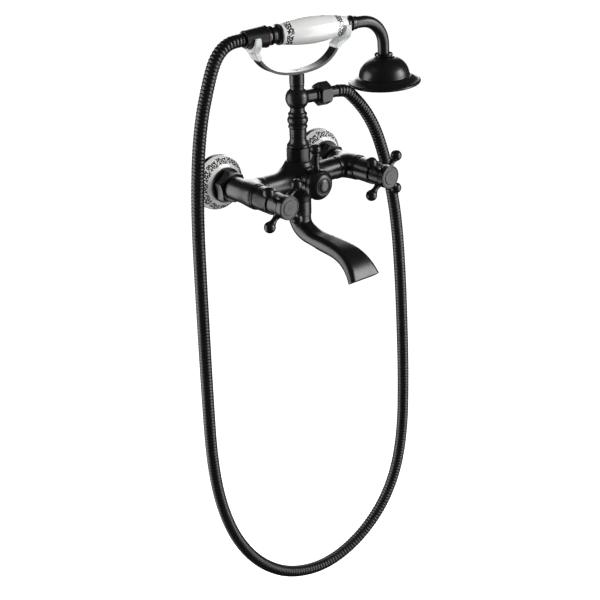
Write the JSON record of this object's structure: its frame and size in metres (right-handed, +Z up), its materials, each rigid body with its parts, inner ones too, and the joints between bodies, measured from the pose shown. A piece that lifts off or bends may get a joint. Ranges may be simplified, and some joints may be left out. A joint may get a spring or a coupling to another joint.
{
  "type": "wall mounted bath faucet",
  "caption": "Wall mounted bath faucet with cross handles, swivel spout, lever diverter and a cradled telephone hand shower on a corrugated hose.",
  "frame": {"origin": "on the wall plane, midway between the hot and cold inlets, at inlet height", "axes": "+X to the right along the wall as seen from the bath, +Y into the wall along the inlets, +Z up"},
  "size_m": [0.2994, 0.183, 0.7261],
  "materials": {
    "matte_black": "satin",
    "porcelain": "gloss glaze with black scroll band",
    "brass": "machined",
    "valve_ceramic": "lapped",
    "screw_steel": "plain",
    "index_grey": "satin",
    "rubber": "moulded",
    "liner_plastic": "translucent",
    "hose_black": "satin, corrugated",
    "bright_ring": "polished edge",
    "spray_face": "satin"
  },
  "bodies": {
    "root": {"hot_wall_nipple": "brass", "hot_back_flange": "matte_black", "hot_porcelain_escutcheon": "porcelain", "hot_union_nut": "matte_black", "hot_cartridge_housing": "brass", "hot_bonnet": "matte_black", "cold_wall_nipple": "brass", "cold_back_flange": "matte_black", "cold_porcelain_escutcheon": "porcelain", "cold_union_nut": "matte_black", "cold_cartridge_housing": "brass", "cold_bonnet": "matte_black", "inlet_washers": "rubber", "seat_seals": "rubber", "fixed_discs": "valve_ceramic", "mixer_body": "matte_black", "diverter_housing": "matte_black", "riser_union_nut": "matte_black", "riser_seal": "rubber", "riser_column": "matte_black", "riser_tee": "matte_black", "cradle_stem": "matte_black", "cradle_fork": "matte_black", "cradle_screw": "screw_steel", "rear_cradle_liner": "liner_plastic", "front_cradle_liner": "liner_plastic", "hose": "hose_black", "hose_outlet_nut": "matte_black", "hose_outlet_sleeve": "matte_black", "hose_outlet_washer": "rubber", "spout_socket": "matte_black"},
    "hot_handle": {"hot_moving_disc": "valve_ceramic", "hot_spindle": "brass", "hot_handle_hub": "matte_black", "hot_handle_spokes": "matte_black", "hot_handle_screw": "screw_steel", "hot_index_button": "index_grey"},
    "cold_handle": {"cold_moving_disc": "valve_ceramic", "cold_spindle": "brass", "cold_handle_hub": "matte_black", "cold_handle_spokes": "matte_black", "cold_handle_screw": "screw_steel", "cold_index_button": "index_grey"},
    "diverter": {"diverter_plug": "brass", "diverter_spindle": "brass", "diverter_knob": "matte_black", "diverter_lever": "matte_black", "diverter_cap": "matte_black"},
    "spout": {"spout": "matte_black", "spout_o_rings": "rubber"},
    "handset": {"hose_handset_nut": "matte_black", "handset_nut_ring": "bright_ring", "handset_rear_ferrule": "matte_black", "handset_grip": "porcelain", "handset_core_tube": "brass", "handset_front_ferrule": "matte_black", "handset_neck": "matte_black", "head_collar": "matte_black", "head_bell": "matte_black", "spray_plate": "spray_face"}
  },
  "joints": [
    {"name": "hot_handle_turn", "type": "hinge", "parent": "root", "child": "hot_handle", "pos_m": [-0.075, -0.1185, 0], "axis": [0, -1, 0], "range_deg": [0, 90]},
    {"name": "cold_handle_turn", "type": "hinge", "parent": "root", "child": "cold_handle", "pos_m": [0.075, -0.1185, 0], "axis": [0, -1, 0], "range_deg": [-90, 0]},
    {"name": "diverter_turn", "type": "hinge", "parent": "root", "child": "diverter", "pos_m": [0, -0.0868, 0], "axis": [0, -1, 0], "range_deg": [0, 90]},
    {"name": "spout_swivel", "type": "hinge", "parent": "root", "child": "spout", "pos_m": [0, -0.0575, -0.043], "axis": [0, 0, 1], "range_deg": [-75, 75]},
    {"name": "handset_lift", "type": "slide", "parent": "root", "child": "handset", "axis": [0, 0, 1], "range_m": [0, 0.05]}
  ]
}
